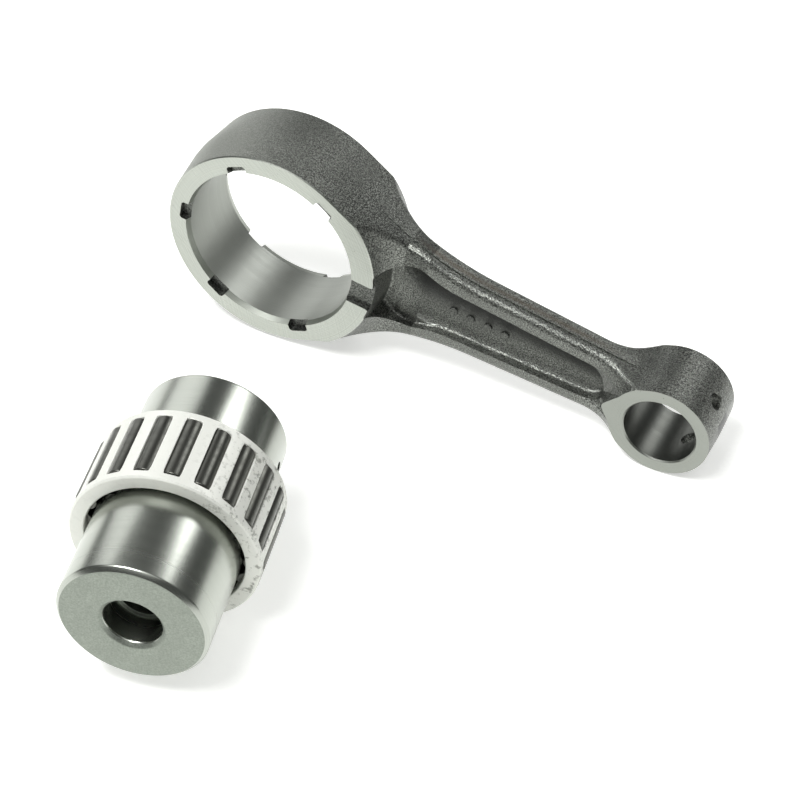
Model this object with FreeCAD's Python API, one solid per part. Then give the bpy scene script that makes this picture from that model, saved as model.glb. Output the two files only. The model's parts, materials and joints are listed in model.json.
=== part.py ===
import FreeCAD, Part
import math
import os

from FreeCAD import Base

V = Base.Vector

# The connecting rod of a small single-cylinder engine, with its crank pin and big-end roller
# bearing lying beside it. Millimetres, +Z up. The origin is the centre of the big-end bore, +Y runs
# along that bore towards the back, and the small end is towards +X. The rod stands on its edge and
# the pin lies in its bearing, both on one level surface.

# ---- rod: centre distance, bores and ends
CENTRE_DISTANCE = 104.0       # big-end bore centre to small-end bore centre
BIG_END_WIDTH = 21.4          # over the two ground thrust faces
BIG_END_WALL = 6.16           # bore to the outside at mid width
BIG_END_DRAFT = 1.0           # how much less the outside radius is at the thrust faces
BIG_CHAMFER_RADIAL = 0.55
BIG_CHAMFER_AXIAL = 1.5
SMALL_BORE_RADIUS = 9.0
SMALL_END_WIDTH = 17.5
SMALL_END_WALL = 3.75
SMALL_END_DRAFT = 0.3
SMALL_CHAMFER = 0.35
FACE_EDGE_BREAK = 0.25        # chamfer round the outside of the thrust faces
STOCK_ALLOWANCE = 1.5         # forging beyond a thrust face before it is machined

# ---- rod: shank
FLARE_ANGLE = 62.5            # where the shank's edge leaves the big-end ring, degrees from the rod's line
FLARE_RADIUS = 68.0           # blend from the flare into the straight edge
SHANK_HALF_HEIGHT = 13.25     # straight edge, carried back to the big-end centre
SHANK_TAPER = 0.046           # fall of the half height per mm towards the small end
SHANK_DRAFT = 1.15            # lean of the edge over half the big-end width
NECK_RADIUS = 18.0            # blend from the straight edge into the small-end ring
SHANK_HALF_THICKNESS = 3.75
BIG_HUB_REACH = 9.8           # from the big-end ring out to where the flange is flat
BIG_HUB_BLEND = 10.0
SMALL_HUB_REACH = 9.25
SMALL_HUB_BLEND = 11.0
FLANGE_ROUND = SHANK_HALF_THICKNESS / 2   # round along the flanges' outer edges
FLANGE_WIDTH = 3.9            # shank's edge to the pocket

# ---- rod: pockets of the I-section, measured where the flange is flat
WEB_HALF_THICKNESS = 1.75
POCKET_RING_GAP = 0.95        # ring's outside to the pocket
POCKET_LOBE_OFFSET = 7.2      # ring's outside to the centre of the wide lobe
POCKET_LOBE_BULGE = 2.03      # lobe beyond the straight pocket edge
POCKET_LOBE_BLEND = 26.0      # lobe into the straight pocket edge
POCKET_END_GAP = 3.4          # pocket to the small-end ring's outside
POCKET_DRAFT = 7.0            # degrees
POCKET_CORNER = 1.0
POCKET_FLOOR_ROUND = 0.8

# ---- rod: forging seam, nose of the small-end face, plain pips on the web
SEAM_HALF_WIDTH = 1.4
SEAM_HEIGHT = 0.3
SEAM_RUN_OUT = 1.5            # degrees by which the seam grows out of the flare
NOSE_HALF_ANGLE = 54.0        # point of the small-end face towards the shank
NOSE_TIP_RADIUS = 2.0
NOSE_DRAFT = 20.0             # degrees
PIP_COUNT = 4
PIP_RADIUS = 1.1
PIP_HEIGHT = 0.35
PIP_PITCH = 4.6
PIP_ROUND = 0.2
FIRST_PIP_OFFSET = 18.4       # from the big-end ring's outside

# ---- rod: oil ways
NOTCH_PLACES = 6              # equally round the big-end bore; the one towards the shank is the wide slot
NOTCH_WIDTH = 5.2
NOTCH_REACH = 2.2             # radial, beyond the bore
NOTCH_DEPTH = 1.8
NOTCH_CORNER = 0.8
SLOT_WIDTH = 7.2
SLOT_DEPTH = 1.3
SLOT_FLARE = 1.4
OIL_HOLE_RADIUS = 2.0
OIL_HOLE_MOUTH = 0.4
OIL_HOLE_ANGLE = 45.0         # each side of the rod's tip

# ---- crank pin
PIN_RADIUS = 17.0
PIN_LENGTH = 60.5
PIN_CHAMFER = 1.0
PIN_BORE_RADIUS = 5.5
PIN_SEAT_RADIUS = 6.5
PIN_SEAT_DEPTH = 8.0
PIN_SEAT_CHAMFER = 1.0
FEED_HOLE_RADIUS = 1.25
FEED_HOLE_FROM_END = 8.0
FEED_HOLE_MOUTH = 0.3

# ---- big-end bearing
ROLLER_COUNT = 20
ROLLER_RADIUS = 2.5
ROLLER_END_ROUND = 0.35
ROLLER_END_CLEARANCE = 0.15   # roller to the end of its window
ROLLER_SIDE_CLEARANCE = 0.1   # roller to the cage bars
TRACK_CLEARANCE = 0.02        # radial, roller to crank pin and roller to big-end bore
CAGE_END_CLEARANCE = 0.2      # cage to each thrust face of the rod
CAGE_RIM = 2.05
CAGE_BORE_CLEARANCE = 0.29    # radial, cage outside to big-end bore
CAGE_PIN_GAP = 1.25           # radial, cage rim to crank pin
CAGE_EDGE_BREAK = 0.4
WINDOW_WIDTH = 3.8            # opening in the cage's outside
WINDOW_DEPTH = 1.5            # how far that opening reaches in
WINDOW_CORNER = 0.5

# ---- how the pieces lie
SET_X = 21.0                  # crank pin's middle
SET_Y = -93.5
SET_YAW = 11.6                # degrees, far end of the pin swung away from the small end
BEARING_SHIFT = 2.4           # bearing's middle beyond the pin's middle
FIRST_ROLLER_ANGLE = 4.05     # degrees from the top

# ---- worked out from the sizes above
PITCH_RADIUS = PIN_RADIUS + TRACK_CLEARANCE + ROLLER_RADIUS
BIG_BORE_RADIUS = PITCH_RADIUS + ROLLER_RADIUS + TRACK_CLEARANCE
BIG_OUTER_RADIUS = BIG_BORE_RADIUS + BIG_END_WALL
SMALL_OUTER_RADIUS = SMALL_BORE_RADIUS + SMALL_END_WALL
HALF_BIG = BIG_END_WIDTH / 2
HALF_SMALL = SMALL_END_WIDTH / 2
HALF_STOCK = HALF_BIG + STOCK_ALLOWANCE
SHANK_MIDDLE = CENTRE_DISTANCE / 2
EDGE_ANGLE = -math.degrees(math.atan(SHANK_TAPER))
ROD_SLOPE = math.degrees(math.asin((BIG_OUTER_RADIUS - SMALL_OUTER_RADIUS) / CENTRE_DISTANCE))
SURFACE_Z = -BIG_OUTER_RADIUS
CAGE_WIDTH = BIG_END_WIDTH - 2 * CAGE_END_CLEARANCE
CAGE_OUTER_RADIUS = BIG_BORE_RADIUS - CAGE_BORE_CLEARANCE
CAGE_INNER_RADIUS = PIN_RADIUS + CAGE_PIN_GAP
WINDOW_LENGTH = CAGE_WIDTH - 2 * CAGE_RIM
ROLLER_LENGTH = WINDOW_LENGTH - 2 * ROLLER_END_CLEARANCE
ROLLER_PITCH = 360.0 / ROLLER_COUNT
BEYOND = 2.0                  # how far a cutting tool runs past the metal
ORIGIN = V(0, 0, 0)
ALONG = V(0, 1, 0)            # direction of every bore before the pieces are laid down


def polar(radius, degrees):
    """Point (x, z) at an angle from the rod's line."""
    a = math.radians(degrees)
    return radius * math.cos(a), radius * math.sin(a)


def at(point, y):
    return V(point[0], y, point[1])


def mirrored(points):
    return [(x, -z) for x, z in points]


def arc(a, mid, b, y):
    return Part.Arc(at(a, y), at(mid, y), at(b, y)).toShape()


def line(a, b, y):
    return Part.LineSegment(at(a, y), at(b, y)).toShape()


def corner_blend(meet, angle_in, angle_out, radius):
    """Start, middle and end of the arc that rounds the corner at meet, between two directions in degrees."""
    a_in, a_out = math.radians(angle_in), math.radians(angle_out)
    reach = radius * abs(math.tan((a_out - a_in) / 2))
    side = math.copysign(radius, a_out - a_in)
    start = (meet[0] - reach * math.cos(a_in), meet[1] - reach * math.sin(a_in))
    end = (meet[0] + reach * math.cos(a_out), meet[1] + reach * math.sin(a_out))
    centre = (start[0] - side * math.sin(a_in), start[1] + side * math.cos(a_in))
    a_mid = (a_in + a_out) / 2
    mid = (centre[0] + side * math.sin(a_mid), centre[1] - side * math.cos(a_mid))
    return start, mid, end


def ring_blend(base, radius, centre_x, ring_radius, side):
    """Arc that touches the shank's sloping edge through base and a ring centred on the rod's line.

    The arc lies outside both, before the ring where side is -1 and after it where side is +1.
    Gives its point on the edge, its middle and its point on the ring.
    """
    a = math.radians(EDGE_ANGLE)
    d, n = (math.cos(a), math.sin(a)), (-math.sin(a), math.cos(a))
    p = (base[0] + n[0] * radius, base[1] + n[1] * radius)
    along = (centre_x - p[0]) * d[0] - p[1] * d[1]
    away = (centre_x - p[0]) * n[0] - p[1] * n[1]
    s = along + side * math.sqrt((ring_radius + radius) ** 2 - away ** 2)
    centre = (p[0] + d[0] * s, p[1] + d[1] * s)
    on_edge = (centre[0] - n[0] * radius, centre[1] - n[1] * radius)
    share = ring_radius / (ring_radius + radius)
    on_ring = (centre_x + (centre[0] - centre_x) * share, centre[1] * share)
    chord = ((on_edge[0] + on_ring[0]) / 2 - centre[0], (on_edge[1] + on_ring[1]) / 2 - centre[1])
    stretch = radius / math.hypot(*chord)
    return on_edge, (centre[0] + chord[0] * stretch, centre[1] + chord[1] * stretch), on_ring


def rod_outline(y, big_radius, small_radius, edge_shift, flare_angle):
    """Side outline of the whole rod: big-end ring, flare, straight edge, neck and small-end ring."""
    leave = polar(big_radius, flare_angle)
    slope = math.tan(math.radians(flare_angle - 90))
    base = (0.0, SHANK_HALF_HEIGHT + edge_shift)
    meet_x = (base[1] - leave[1] + slope * leave[0]) / (slope + SHANK_TAPER)
    meet = (meet_x, base[1] - SHANK_TAPER * meet_x)
    flare = corner_blend(meet, flare_angle - 90, EDGE_ANGLE, FLARE_RADIUS - edge_shift)
    neck = ring_blend(base, NECK_RADIUS - edge_shift, CENTRE_DISTANCE, small_radius, -1)
    up = [leave, *flare, *neck]
    down = mirrored(up)
    tip, heel = (CENTRE_DISTANCE + small_radius, 0.0), (-big_radius, 0.0)
    return Part.Wire([
        line(up[0], up[1], y), arc(*up[1:4], y), line(up[3], up[4], y), arc(*up[4:7], y),
        arc(up[6], tip, down[6], y),
        arc(*down[6:3:-1], y), line(down[4], down[3], y), arc(*down[3:0:-1], y), line(down[1], down[0], y),
        arc(down[0], heel, up[0], y),
    ])


def drafted_half(side):
    """Half of the forging's outline, straight at the seam and then leaning in as it rises."""
    lean = (HALF_STOCK - SEAM_HALF_WIDTH) / (HALF_BIG - SEAM_HALF_WIDTH)
    middle = rod_outline(0.0, BIG_OUTER_RADIUS, SMALL_OUTER_RADIUS, 0.0, FLARE_ANGLE)
    seam = middle.translated(ALONG * (side * SEAM_HALF_WIDTH))
    top = rod_outline(side * HALF_STOCK, BIG_OUTER_RADIUS - BIG_END_DRAFT * lean,
                      SMALL_OUTER_RADIUS - SMALL_END_DRAFT * lean, -SHANK_DRAFT * lean, FLARE_ANGLE)
    straight = Part.Face(middle).extrude(ALONG * (side * SEAM_HALF_WIDTH))
    return straight.fuse(Part.makeLoft([seam, top], True, True))


def turned(points, closing=()):
    """Solid turned about the bore direction from (radius, y) points; closing may hold ready-made edges."""
    corners = [V(r, y, 0) for r, y in points]
    edges = [Part.LineSegment(a, b).toShape() for a, b in zip(corners, corners[1:])]
    wire = Part.Wire(Part.__sortEdges__(edges + list(closing)))
    return Part.Face(wire).revolve(ORIGIN, ALONG, 360)


def hub(radius, blend):
    """Body turned round a bore: past the forging by the ring, with a round blend down to the flanges."""
    top, inside = SHANK_HALF_THICKNESS + blend, radius - blend
    tall = max(top, HALF_STOCK) + BEYOND
    slant = blend * math.cos(math.pi / 4)
    blends = [
        Part.Arc(V(inside, s * top, 0), V(radius - slant, s * (top - slant), 0),
                 V(radius, s * SHANK_HALF_THICKNESS, 0)).toShape()
        for s in (1, -1)
    ]
    rim = Part.LineSegment(V(radius, SHANK_HALF_THICKNESS, 0), V(radius, -SHANK_HALF_THICKNESS, 0)).toShape()
    stem = [(inside, top), (inside, tall), (0, tall), (0, -tall), (inside, -tall), (inside, -top)]
    return turned(stem, [*blends, rim])


def slab(x0, x1, half_thickness):
    """Plate about the rod's middle plane, taller than the rod."""
    tall = BIG_OUTER_RADIUS + BEYOND
    return Part.makeBox(x1 - x0, 2 * half_thickness, 2 * tall, V(x0, -half_thickness, -tall))


def flange_edges(shape):
    """The shank's sharp outer edges, between its flanges and its leaning sides."""
    found = []
    for edge in shape.Edges:
        middle = edge.valueAt((edge.FirstParameter + edge.LastParameter) / 2)
        ends = [abs(v.Y) for v in edge.Vertexes]
        flat = max(ends) - min(ends) < 1e-6 and abs(min(ends) - HALF_STOCK) < 1e-6
        off_line = abs(middle.z) > SMALL_BORE_RADIUS / 2
        before_neck = max(v.X for v in edge.Vertexes) < CENTRE_DISTANCE - SMALL_OUTER_RADIUS
        if min(ends) > SHANK_HALF_THICKNESS - 1e-3 and not flat and off_line and before_neck:
            found.append(edge)
    return found


def nose_outline(y, grow):
    """Point of the small-end face: two lines that touch the face's circle, and a round tip."""
    radius = SMALL_OUTER_RADIUS - SMALL_END_DRAFT + grow
    apex = (CENTRE_DISTANCE - radius / math.sin(math.radians(NOSE_HALF_ANGLE)), 0.0)
    touch = polar(radius, 90 + NOSE_HALF_ANGLE)
    upper = (CENTRE_DISTANCE + touch[0], touch[1])
    lower = mirrored([upper])[0]
    tip = corner_blend(apex, 180 + NOSE_HALF_ANGLE, 360 - NOSE_HALF_ANGLE, NOSE_TIP_RADIUS)
    middle = (CENTRE_DISTANCE, 0.0)
    return Part.Wire([line(middle, upper, y), line(upper, tip[0], y), arc(*tip, y),
                      line(tip[2], lower, y), line(lower, middle, y)])


def nose(side):
    grow = (HALF_SMALL - WEB_HALF_THICKNESS) * math.tan(math.radians(NOSE_DRAFT))
    levels = [nose_outline(side * HALF_SMALL, 0.0), nose_outline(side * WEB_HALF_THICKNESS, grow)]
    return Part.makeLoft(levels, True, True)


def seam():
    """Trimmed seam of the forging, standing a little proud along both edges of the shank."""
    wire = rod_outline(-SEAM_HALF_WIDTH, BIG_OUTER_RADIUS - SEAM_HEIGHT, SMALL_OUTER_RADIUS - SEAM_HEIGHT,
                       SEAM_HEIGHT, FLARE_ANGLE + SEAM_RUN_OUT)
    return Part.Face(wire).extrude(ALONG * (2 * SEAM_HALF_WIDTH))


def pocket_outline(y, grow):
    """Outline of a pocket: round lobe by the big end, cut short by the ring, then a slot with a round end."""
    cosine = math.cos(math.radians(EDGE_ANGLE))
    base = (0.0, SHANK_HALF_HEIGHT - (FLANGE_WIDTH - grow) / cosine)
    ring = BIG_OUTER_RADIUS + POCKET_RING_GAP - grow
    lobe_x = BIG_OUTER_RADIUS + POCKET_LOBE_OFFSET
    lobe = base[1] - SHANK_TAPER * lobe_x + POCKET_LOBE_BULGE
    meet_x = (ring ** 2 - lobe ** 2 + lobe_x ** 2) / (2 * lobe_x)
    meet = (meet_x, math.sqrt(ring ** 2 - meet_x ** 2))
    on_edge, mid, on_lobe = ring_blend(base, POCKET_LOBE_BLEND - grow, lobe_x, lobe, 1)
    first, last = (math.degrees(math.atan2(p[1], p[0] - lobe_x)) for p in (meet, on_lobe))
    crown = polar(lobe, (first + last) / 2)
    end_x = CENTRE_DISTANCE - SMALL_OUTER_RADIUS - POCKET_END_GAP + grow
    end_centre = (end_x - base[1] * cosine) / (1 - SHANK_TAPER * cosine)
    end_radius = end_x - end_centre
    touch = polar(end_radius, 90 + EDGE_ANGLE)
    up = [meet, (lobe_x + crown[0], crown[1]), on_lobe, mid, on_edge, (end_centre + touch[0], touch[1])]
    down = mirrored(up)
    return Part.Wire([
        arc(*up[0:3], y), arc(*up[2:5], y), line(up[4], up[5], y),
        arc(up[5], (end_x, 0.0), down[5], y),
        line(down[5], down[4], y), arc(*down[4:1:-1], y), arc(*down[2::-1], y),
        arc(down[0], (ring, 0.0), up[0], y),
    ])


def pocket(side):
    """Cutter for one pocket, with leaning walls and rounds in its corners and round its floor."""
    lean = math.tan(math.radians(POCKET_DRAFT))
    floor, top = WEB_HALF_THICKNESS, HALF_STOCK
    wires = [pocket_outline(side * y, (y - SHANK_HALF_THICKNESS) * lean) for y in (floor, top)]
    tool = Part.makeLoft(wires, True, True)
    ring_side = BIG_OUTER_RADIUS + POCKET_LOBE_OFFSET / 2
    corners = [e for e in tool.Edges if abs(e.Vertexes[0].Y - e.Vertexes[-1].Y) > floor
               and e.Vertexes[0].X < ring_side]
    tool = tool.makeFillet(POCKET_CORNER, corners)
    floor_edges = [e for e in tool.Edges if all(abs(abs(v.Y) - floor) < 1e-6 for v in e.Vertexes)]
    return tool.makeFillet(POCKET_FLOOR_ROUND, floor_edges)


def pip(index):
    """Plain raised pip on the front of the web."""
    x = BIG_OUTER_RADIUS + FIRST_PIP_OFFSET + index * PIP_PITCH
    foot = V(x, -WEB_HALF_THICKNESS / 2, 0)
    body = Part.makeCylinder(PIP_RADIUS, WEB_HALF_THICKNESS / 2 + PIP_HEIGHT, foot, -ALONG)
    top = [e for e in body.Edges if abs(e.BoundBox.YMax + WEB_HALF_THICKNESS + PIP_HEIGHT) < 1e-6]
    return body.makeFillet(PIP_ROUND, top)


def bore_tool(radius, half_width, chamfer_radial, chamfer_axial):
    """Cutter for a through bore with a chamfer at each face."""
    slope = chamfer_radial / chamfer_axial
    mouth = radius + slope * (chamfer_axial + BEYOND)
    inside, outside = half_width - chamfer_axial, half_width + BEYOND
    return turned([(0, -outside), (mouth, -outside), (radius, -inside), (radius, inside),
                   (mouth, outside), (0, outside), (0, -outside)])


def notch(index, side):
    """Oil notch in a thrust face, open to the bore."""
    reach = BIG_BORE_RADIUS + NOTCH_REACH
    inside = BIG_BORE_RADIUS - BEYOND
    box = Part.makeBox(reach - inside, NOTCH_DEPTH + BEYOND, NOTCH_WIDTH, V(inside, 0, -NOTCH_WIDTH / 2))
    corners = [e for e in box.Edges if all(abs(v.X - reach) < 1e-6 for v in e.Vertexes)
               and e.BoundBox.YLength > NOTCH_DEPTH]
    box = box.makeFillet(NOTCH_CORNER, corners)
    y = HALF_BIG - NOTCH_DEPTH if side > 0 else -HALF_BIG - BEYOND
    return box.translated(V(0, y, 0)).rotated(ORIGIN, ALONG, -index * 360.0 / NOTCH_PLACES)


def slot(side):
    """Wide oil slot across a thrust face towards the shank, flared where it leaves the ring."""
    half, out = SLOT_WIDTH / 2, BIG_OUTER_RADIUS + SLOT_FLARE / 4
    start, turn = BIG_BORE_RADIUS - BEYOND, out - SLOT_FLARE
    bend = SLOT_FLARE * (1 - math.cos(math.pi / 4))
    up = [(start, half), (turn, half), (out - bend, half + bend), (out, half + SLOT_FLARE),
          (out + BEYOND, half + SLOT_FLARE)]
    down = mirrored(up)
    y = side * (HALF_BIG - SLOT_DEPTH)
    wire = Part.Wire([line(up[0], up[1], y), arc(*up[1:4], y), line(up[3], up[4], y), line(up[4], down[4], y),
                      line(down[4], down[3], y), arc(*down[3:0:-1], y), line(down[1], down[0], y),
                      line(down[0], up[0], y)])
    return Part.Face(wire).extrude(ALONG * (side * (SLOT_DEPTH + BEYOND)))


def radial_hole(centre, direction, inside, outside, radius, mouth):
    """Cutter for a hole drilled square to an axis, with a countersunk mouth at the outside."""
    drill = Part.makeCylinder(radius, outside - inside + BEYOND, centre + direction * inside, direction)
    sink = Part.makeCone(radius, radius + mouth + BEYOND, mouth + BEYOND,
                         centre + direction * (outside - mouth), direction)
    return drill.fuse(sink)


def oil_hole(angle):
    x, z = polar(1.0, angle)
    return radial_hole(V(CENTRE_DISTANCE, 0, 0), V(x, 0, z), SMALL_BORE_RADIUS - BEYOND, SMALL_OUTER_RADIUS,
                       OIL_HOLE_RADIUS, OIL_HOLE_MOUTH)


def forging():
    """The rod's forging with machined faces: rings, shank, nose and seam, before the pockets and bores."""
    outline = drafted_half(1).fuse(drafted_half(-1)).removeSplitter()
    left, right = -BIG_OUTER_RADIUS - BEYOND, CENTRE_DISTANCE + SMALL_OUTER_RADIUS + BEYOND
    big_hub = hub(BIG_OUTER_RADIUS + BIG_HUB_REACH, BIG_HUB_BLEND)
    small_hub = hub(SMALL_OUTER_RADIUS + SMALL_HUB_REACH, SMALL_HUB_BLEND)
    hubs = [big_hub, small_hub.translated(V(CENTRE_DISTANCE, 0, 0))]
    levels = slab(left, right, SHANK_HALF_THICKNESS).fuse(hubs)
    body = outline.common(levels)
    body = body.makeFillet(FLANGE_ROUND, flange_edges(body))
    body = body.fuse([nose(1), nose(-1)])
    faces = slab(left, SHANK_MIDDLE, HALF_BIG).fuse(slab(SHANK_MIDDLE, right, HALF_SMALL))
    return body.common(faces).removeSplitter().fuse(seam())


def thrust_face_edges(shape):
    """Outer edges of the two thrust faces."""
    found = []
    for face in shape.Faces:
        box = face.BoundBox
        if box.YLength < 1e-6 and abs(abs(box.YMin) - HALF_BIG) < 1e-6:
            found += face.OuterWire.Edges
    return found


def connecting_rod():
    body = forging()
    body = body.makeChamfer(FACE_EDGE_BREAK, thrust_face_edges(body))
    small_bore = bore_tool(SMALL_BORE_RADIUS, HALF_SMALL, SMALL_CHAMFER, SMALL_CHAMFER)
    cuts = [pocket(1), pocket(-1), slot(1), slot(-1),
            bore_tool(BIG_BORE_RADIUS, HALF_BIG, BIG_CHAMFER_RADIAL, BIG_CHAMFER_AXIAL),
            small_bore.translated(V(CENTRE_DISTANCE, 0, 0)),
            oil_hole(OIL_HOLE_ANGLE), oil_hole(-OIL_HOLE_ANGLE)]
    cuts += [notch(index, side) for index in range(1, NOTCH_PLACES) for side in (1, -1)]
    body = body.cut(cuts)
    body = body.fuse([pip(index) for index in range(PIP_COUNT)]).removeSplitter()
    return body.rotated(ORIGIN, ALONG, ROD_SLOPE)


def crank_pin():
    half, seat = PIN_LENGTH / 2, PIN_LENGTH / 2 - PIN_SEAT_DEPTH
    mouth = PIN_SEAT_RADIUS + PIN_SEAT_CHAMFER
    end = [(mouth, half), (PIN_RADIUS - PIN_CHAMFER, half), (PIN_RADIUS, half - PIN_CHAMFER)]
    inner = [(PIN_BORE_RADIUS, seat), (PIN_SEAT_RADIUS, seat), (PIN_SEAT_RADIUS, half - PIN_SEAT_CHAMFER)]
    upper = inner + end
    outline = upper + [(r, -y) for r, y in reversed(upper)]
    body = turned(outline + outline[:1])
    side = V(1, 0, 0)
    for y in (half - FEED_HOLE_FROM_END, BEARING_SHIFT):
        body = body.cut(radial_hole(V(0, y, 0), side, 0.0, PIN_RADIUS, FEED_HOLE_RADIUS, FEED_HOLE_MOUTH))
    return body


def roller_angle(index):
    return math.radians(FIRST_ROLLER_ANGLE + index * ROLLER_PITCH)


def roller_axis(index):
    a = roller_angle(index)
    return V(PITCH_RADIUS * math.sin(a), BEARING_SHIFT, PITCH_RADIUS * math.cos(a))


def window(index):
    """Cutter for one cage window: a round pocket for the roller and a narrower opening outside it."""
    half = WINDOW_LENGTH / 2
    round_part = Part.makeCylinder(ROLLER_RADIUS + ROLLER_SIDE_CLEARANCE, WINDOW_LENGTH,
                                   V(0, BEARING_SHIFT - half, PITCH_RADIUS), ALONG)
    low = CAGE_OUTER_RADIUS - WINDOW_DEPTH
    opening = Part.makeBox(WINDOW_WIDTH, WINDOW_LENGTH, WINDOW_DEPTH + BEYOND,
                           V(-WINDOW_WIDTH / 2, BEARING_SHIFT - half, low))
    corners = [e for e in opening.Edges if e.BoundBox.ZLength > WINDOW_DEPTH]
    opening = opening.makeFillet(WINDOW_CORNER, corners)
    return round_part.fuse(opening).rotated(ORIGIN, ALONG, math.degrees(roller_angle(index)))


def bearing_cage():
    half = CAGE_WIDTH / 2
    ring = turned([(CAGE_INNER_RADIUS, -half), (CAGE_OUTER_RADIUS, -half), (CAGE_OUTER_RADIUS, half),
                   (CAGE_INNER_RADIUS, half), (CAGE_INNER_RADIUS, -half)])
    ring = ring.makeChamfer(CAGE_EDGE_BREAK, [e for e in ring.Edges if e.BoundBox.YLength < 1e-6
                                              and e.BoundBox.XMax > CAGE_OUTER_RADIUS - 1e-6])
    return ring.translated(ALONG * BEARING_SHIFT).cut([window(index) for index in range(ROLLER_COUNT)])


def roller(index):
    foot = roller_axis(index) - ALONG * (ROLLER_LENGTH / 2)
    body = Part.makeCylinder(ROLLER_RADIUS, ROLLER_LENGTH, foot, ALONG)
    ends = [e for e in body.Edges if e.BoundBox.YLength < 1e-6]
    return body.makeFillet(ROLLER_END_ROUND, ends)


def resting_height():
    """Height of the pin's line above the surface, on whichever of the rollers and the cage reaches lowest."""
    lowest = min(math.cos(roller_angle(index)) for index in range(ROLLER_COUNT))
    return max(ROLLER_RADIUS - PITCH_RADIUS * lowest, CAGE_OUTER_RADIUS)


def laid_down(shape):
    """The pin and its bearing where they lie on the surface, in front of the rod."""
    place = V(SET_X, SET_Y, SURFACE_Z + resting_height())
    return shape.rotated(ORIGIN, V(0, 0, 1), SET_YAW).translated(place)


def pieces():
    yield "connecting_rod", connecting_rod()
    yield "crank_pin", laid_down(crank_pin())
    yield "bearing_cage", laid_down(bearing_cage())
    for index in range(ROLLER_COUNT):
        yield f"roller_{index + 1:02d}", laid_down(roller(index))


os.makedirs("parts", exist_ok=True)
for name, shape in pieces():
    shape.Solids[0].exportStep(f"parts/{name}.step")
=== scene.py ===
"""Connecting rod of a small single-cylinder engine, with its crank pin and caged big-end bearing.

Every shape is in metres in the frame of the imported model: origin in the middle of the big-end bore,
+Y along that bore, +X towards the small end, +Z up.
"""

import json
import math

import bpy
import numpy as np
from bpy.props import FloatProperty, FloatVectorProperty, IntProperty, PointerProperty
from mathutils import Matrix, Vector

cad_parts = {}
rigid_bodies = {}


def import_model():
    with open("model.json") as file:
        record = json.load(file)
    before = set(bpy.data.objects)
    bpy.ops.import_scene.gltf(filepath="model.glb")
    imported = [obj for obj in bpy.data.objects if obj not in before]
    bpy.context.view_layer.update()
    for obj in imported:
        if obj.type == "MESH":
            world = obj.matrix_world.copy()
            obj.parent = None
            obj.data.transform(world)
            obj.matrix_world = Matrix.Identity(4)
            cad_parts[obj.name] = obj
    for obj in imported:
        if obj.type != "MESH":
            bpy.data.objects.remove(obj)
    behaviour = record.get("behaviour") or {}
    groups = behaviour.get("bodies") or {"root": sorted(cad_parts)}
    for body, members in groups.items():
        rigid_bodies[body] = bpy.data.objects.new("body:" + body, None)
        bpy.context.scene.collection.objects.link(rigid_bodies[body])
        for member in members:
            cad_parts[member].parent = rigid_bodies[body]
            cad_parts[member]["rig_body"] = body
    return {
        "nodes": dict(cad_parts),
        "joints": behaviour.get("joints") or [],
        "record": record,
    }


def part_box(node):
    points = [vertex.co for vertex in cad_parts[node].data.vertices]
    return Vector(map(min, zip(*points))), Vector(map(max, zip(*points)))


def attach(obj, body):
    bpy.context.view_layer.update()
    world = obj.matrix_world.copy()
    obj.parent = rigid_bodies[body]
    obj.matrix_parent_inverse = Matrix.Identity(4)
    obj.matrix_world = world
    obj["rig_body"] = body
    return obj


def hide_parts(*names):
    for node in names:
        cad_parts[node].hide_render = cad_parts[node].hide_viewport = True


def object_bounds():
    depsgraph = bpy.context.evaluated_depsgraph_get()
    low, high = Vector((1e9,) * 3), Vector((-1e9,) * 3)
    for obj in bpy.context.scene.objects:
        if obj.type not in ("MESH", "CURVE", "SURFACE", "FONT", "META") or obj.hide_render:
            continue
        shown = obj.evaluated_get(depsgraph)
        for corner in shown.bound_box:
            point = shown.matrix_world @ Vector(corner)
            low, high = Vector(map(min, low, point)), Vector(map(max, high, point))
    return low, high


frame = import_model()
CAD_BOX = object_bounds()

bl_info = {
    "name": "Connecting Rod Kit",
    "version": (1, 0, 0),
    "blender": (4, 5, 0),
    "location": "View3D > Sidebar > Rod Kit",
    "description": "Builds a connecting rod with its crank pin and roller bearing, and a plain stage",
    "category": "Object",
}

MM = 0.001
MOUNTS = {mount["name"]: mount for mount in frame["record"]["mounts"]}
JOINTS = {joint["child"]: joint for joint in frame["joints"]}
ROLLERS = sorted(name for name in frame["nodes"] if name.startswith("roller_"))
UP = Vector((0, 0, 1))
BORE_AXIS = Vector((0, 1, 0))


def mount_size(name, key):
    """A mount's size in metres."""
    return MOUNTS[name]["dims"][key] * MM


def height(node):
    """How tall a node stands, in metres."""
    low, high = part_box(node)
    return high.z - low.z


def pivot(body):
    """The point that a body turns about, at rest."""
    return Vector(JOINTS[body]["pos_m"])


# ---- places and sizes that the frame gives
BIG_BORE = mount_size("big_end_bore", "r_mm")
SMALL_BORE = mount_size("small_end_bore", "r_mm")
SMALL_CENTRE = Vector(MOUNTS["small_end_bore"]["pos_m"])
CENTRE_DISTANCE = SMALL_CENTRE.length
ROD_LINE = SMALL_CENTRE.normalized()
ROD_UP = ROD_LINE.cross(BORE_AXIS)
THRUST_FACE = abs(MOUNTS["thrust_face_front"]["pos_m"][1])
PIN_CENTRE = pivot("pin")
PIN_AXIS = Vector(JOINTS["pin"]["axis"]).normalized()
PIN_SIDE = PIN_AXIS.cross(UP)
CAGE_CENTRE = pivot("cage")
PIN_RADIUS = height("crank_pin") / 2
CAGE_RADIUS = height("bearing_cage") / 2
ROLLER_RADIUS = height(ROLLERS[0]) / 2
ROLLER_CIRCLE = (pivot(ROLLERS[0]) - CAGE_CENTRE).length
ROLLER_PITCH = 2 * math.pi / len(ROLLERS)
PIN_SEAT = mount_size("pin_plug_seat_front", "r_mm")
PIN_BORE = mount_size("pin_oil_bore", "r_mm")
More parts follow.
